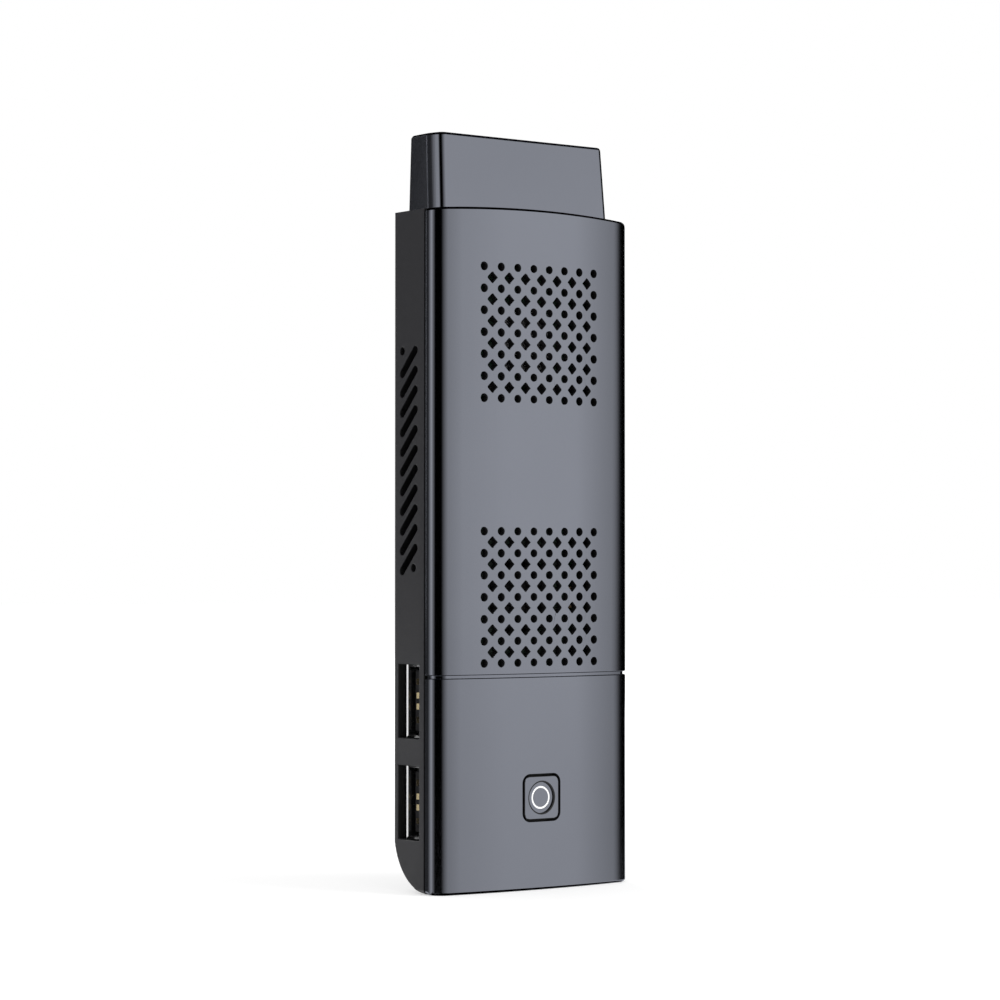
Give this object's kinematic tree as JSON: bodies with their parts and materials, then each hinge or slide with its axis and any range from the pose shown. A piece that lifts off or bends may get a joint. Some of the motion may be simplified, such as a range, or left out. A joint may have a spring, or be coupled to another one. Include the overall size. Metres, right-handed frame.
{
  "type": "stick computer",
  "caption": "Slim stick computer with a capped video plug at one end, a crowned vented front in two covers, slanted side vents, side ports and a lit power key.",
  "frame": {"origin": "middle of the video plug where it leaves the crest of the body's arched end", "axes": "+Z along the stick towards the video plug, -Y out of the crowned front with the power key, +X to the right as seen from the front"},
  "size_m": [0.0454, 0.0148, 0.1386],
  "materials": {
    "cover_plastic": "satin",
    "shell_plastic": "satin",
    "ring_plastic": "translucent white",
    "connector_steel": "plated",
    "connector_plastic": "moulded",
    "contact_gold": "gold plated",
    "board_laminate": "solder mask",
    "chip_resin": "moulded",
    "ceramic_body": "fired",
    "antenna_body": "glazed",
    "pad_rubber": "soft",
    "sink_aluminium": "milled",
    "winding_copper": "enamelled",
    "bearing_bronze": "sintered",
    "magnet_iron": "bonded",
    "lead_rubber": "insulated",
    "socket_plastic": "moulded",
    "screw_steel": "blackened"
  },
  "bodies": {
    "casing": {"front_cover_upper": "cover_plastic", "front_cover_lower": "cover_plastic", "rear_shell": "shell_plastic", "plug_shell": "connector_steel", "data_port_upper_shell": "connector_steel", "data_port_lower_shell": "connector_steel", "power_inlet_shell": "connector_steel", "card_slot_shell": "connector_steel", "wireless_shield": "connector_steel", "clock_crystal": "connector_steel", "switch_dome": "connector_steel", "fan_cover": "connector_steel", "audio_jack_contacts": "connector_steel", "plug_insulator": "connector_plastic", "data_port_upper_insulator": "connector_plastic", "data_port_lower_insulator": "connector_plastic", "power_inlet_insulator": "connector_plastic", "audio_jack_body": "connector_plastic", "card_slot_base": "connector_plastic", "switch_body": "connector_plastic", "fan_housing": "connector_plastic", "plug_contacts": "contact_gold", "data_port_upper_contacts": "contact_gold", "data_port_lower_contacts": "contact_gold", "power_inlet_contacts": "contact_gold", "card_slot_contacts": "contact_gold", "main_board": "board_laminate", "wireless_board": "board_laminate", "processor": "chip_resin", "memory_chips": "chip_resin", "flash_chip": "chip_resin", "power_chip": "chip_resin", "power_coils": "chip_resin", "ceramic_capacitors": "ceramic_body", "chip_antennas": "antenna_body", "status_lamp": "antenna_body", "thermal_pad": "pad_rubber", "heat_sink": "sink_aluminium", "fan_stator": "winding_copper", "fan_bearing": "bearing_bronze", "fan_lead": "lead_rubber", "fan_socket": "socket_plastic", "board_screws": "screw_steel", "heat_sink_screws": "screw_steel", "fan_screws": "screw_steel"},
    "cap": {"plug_cap": "cover_plastic"},
    "key": {"power_key": "cover_plastic", "key_light_ring": "ring_plastic", "switch_plunger": "connector_plastic"},
    "rotor": {"fan_impeller": "connector_plastic", "fan_magnet": "magnet_iron", "fan_shaft": "connector_steel"}
  },
  "joints": [
    {"name": "cap_pull", "type": "slide", "parent": "casing", "child": "cap", "axis": [0, 0, 1], "range_m": [0, 0.016]},
    {"name": "key_press", "type": "slide", "parent": "casing", "child": "key", "axis": [0, 1, 0], "range_m": [0, 0.0004], "stiffness_N_per_m": 600},
    {"name": "fan_spin", "type": "hinge", "parent": "casing", "child": "rotor", "pos_m": [0, 0, -0.0713], "axis": [0, 1, 0], "continuous": true}
  ]
}
